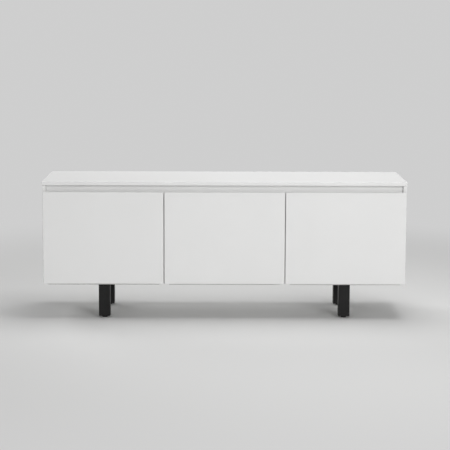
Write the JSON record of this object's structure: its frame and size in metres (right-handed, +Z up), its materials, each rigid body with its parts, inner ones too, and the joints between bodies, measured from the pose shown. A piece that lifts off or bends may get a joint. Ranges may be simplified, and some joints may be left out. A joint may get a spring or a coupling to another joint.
{
  "type": "tv stand",
  "caption": "Low white television stand with a full-width finger recess over drop-down doors, shelved bays behind them and square black metal legs on levelling feet.",
  "frame": {"origin": "on the floor under the centre of the stand", "axes": "+X across the stand to the right seen from the front, front towards -Y, +Z up"},
  "size_m": [1.6, 0.45, 0.612],
  "materials": {
    "white_lacquer": "matt white lacquer on board",
    "white_board": "white melamine faced chipboard",
    "white_sheet": "white faced hardboard",
    "black_steel": "satin black powder coat",
    "black_plastic": "moulded black",
    "hinge_steel": "nickel plated",
    "screw_steel": "zinc plated",
    "zinc": "cast zinc, plated",
    "rod_chrome": "polished rod",
    "grey_plastic": "moulded grey",
    "catch_plastic": "moulded white",
    "strike_steel": "nickel plated",
    "dowel_wood": "plain beech",
    "bumper_rubber": "clear soft pad"
  },
  "bodies": {
    "cabinet": {"top_panel": "white_lacquer", "side_panel_left": "white_lacquer", "side_panel_right": "white_lacquer", "bottom_panel": "white_board", "partition_left": "white_board", "partition_right": "white_board", "grip_rail": "white_lacquer", "back_panel": "white_sheet", "shelf_left": "white_board", "shelf_middle": "white_board", "shelf_right": "white_board", "shelf_pins": "strike_steel", "cam_locks": "zinc", "cam_bolts": "screw_steel", "wooden_dowels": "dowel_wood", "leg_front_left": "black_steel", "leg_front_right": "black_steel", "leg_rear_left": "black_steel", "leg_rear_right": "black_steel", "leg_end_caps": "black_plastic", "leg_screws": "screw_steel", "hinge_frame_leaves": "hinge_steel", "hinge_pins": "hinge_steel", "stay_bases": "zinc", "magnet_catches": "catch_plastic", "frame_screws": "screw_steel"},
    "door_left": {"door_left": "white_lacquer", "hinge_door_leaf_left": "hinge_steel", "stay_brackets_left": "zinc", "strike_plate_left": "strike_steel", "door_screws_left": "screw_steel", "door_bumpers_left": "bumper_rubber"},
    "stay_rods_left": {"stay_rods_left": "rod_chrome"},
    "stay_guides_left": {"stay_guides_left": "grey_plastic"},
    "door_middle": {"door_middle": "white_lacquer", "hinge_door_leaf_middle": "hinge_steel", "stay_brackets_middle": "zinc", "strike_plate_middle": "strike_steel", "door_screws_middle": "screw_steel", "door_bumpers_middle": "bumper_rubber"},
    "stay_rods_middle": {"stay_rods_middle": "rod_chrome"},
    "stay_guides_middle": {"stay_guides_middle": "grey_plastic"},
    "door_right": {"door_right": "white_lacquer", "hinge_door_leaf_right": "hinge_steel", "stay_brackets_right": "zinc", "strike_plate_right": "strike_steel", "door_screws_right": "screw_steel", "door_bumpers_right": "bumper_rubber"},
    "stay_rods_right": {"stay_rods_right": "rod_chrome"},
    "stay_guides_right": {"stay_guides_right": "grey_plastic"},
    "levelling_foot_front_left": {"levelling_foot_front_left": "black_plastic"},
    "levelling_foot_front_right": {"levelling_foot_front_right": "black_plastic"},
    "levelling_foot_rear_left": {"levelling_foot_rear_left": "black_plastic"},
    "levelling_foot_rear_right": {"levelling_foot_rear_right": "black_plastic"}
  },
  "joints": [
    {"name": "door_left_hinge", "type": "hinge", "parent": "cabinet", "child": "door_left", "pos_m": [-0.53283, -0.201, 0.15475], "axis": [1, 0, 0], "range_deg": [0, 90]},
    {"name": "stay_rods_left_eye", "type": "hinge", "parent": "door_left", "child": "stay_rods_left", "pos_m": [-0.53283, -0.188, 0.33929], "axis": [1, 0, 0], "range_deg": [-45, 0]},
    {"name": "stay_guides_left_swivel", "type": "hinge", "parent": "cabinet", "child": "stay_guides_left", "pos_m": [-0.53283, -0.1085, 0.31496], "axis": [1, 0, 0], "range_deg": [0, 45]},
    {"name": "door_middle_hinge", "type": "hinge", "parent": "cabinet", "child": "door_middle", "pos_m": [0, -0.201, 0.15475], "axis": [1, 0, 0], "range_deg": [0, 90]},
    {"name": "stay_rods_middle_eye", "type": "hinge", "parent": "door_middle", "child": "stay_rods_middle", "pos_m": [0, -0.188, 0.33929], "axis": [1, 0, 0], "range_deg": [-45, 0]},
    {"name": "stay_guides_middle_swivel", "type": "hinge", "parent": "cabinet", "child": "stay_guides_middle", "pos_m": [0, -0.1085, 0.31496], "axis": [1, 0, 0], "range_deg": [0, 45]},
    {"name": "door_right_hinge", "type": "hinge", "parent": "cabinet", "child": "door_right", "pos_m": [0.53283, -0.201, 0.15475], "axis": [1, 0, 0], "range_deg": [0, 90]},
    {"name": "stay_rods_right_eye", "type": "hinge", "parent": "door_right", "child": "stay_rods_right", "pos_m": [0.53283, -0.188, 0.33929], "axis": [1, 0, 0], "range_deg": [-45, 0]},
    {"name": "stay_guides_right_swivel", "type": "hinge", "parent": "cabinet", "child": "stay_guides_right", "pos_m": [0.53283, -0.1085, 0.31496], "axis": [1, 0, 0], "range_deg": [0, 45]},
    {"name": "levelling_foot_front_left_screw", "type": "slide", "parent": "cabinet", "child": "levelling_foot_front_left", "axis": [0, 0, -1], "range_m": [0, 0.01]},
    {"name": "levelling_foot_front_right_screw", "type": "slide", "parent": "cabinet", "child": "levelling_foot_front_right", "axis": [0, 0, -1], "range_m": [0, 0.01]},
    {"name": "levelling_foot_rear_left_screw", "type": "slide", "parent": "cabinet", "child": "levelling_foot_rear_left", "axis": [0, 0, -1], "range_m": [0, 0.01]},
    {"name": "levelling_foot_rear_right_screw", "type": "slide", "parent": "cabinet", "child": "levelling_foot_rear_right", "axis": [0, 0, -1], "range_m": [0, 0.01]}
  ],
  "couplings": [
    {"joint": "stay_rods_left_eye", "follows": "door_left_hinge", "ratio": -0.5},
    {"joint": "stay_guides_left_swivel", "follows": "door_left_hinge", "ratio": 0.5},
    {"joint": "stay_rods_middle_eye", "follows": "door_middle_hinge", "ratio": -0.5},
    {"joint": "stay_guides_middle_swivel", "follows": "door_middle_hinge", "ratio": 0.5},
    {"joint": "stay_rods_right_eye", "follows": "door_right_hinge", "ratio": -0.5},
    {"joint": "stay_guides_right_swivel", "follows": "door_right_hinge", "ratio": 0.5}
  ]
}
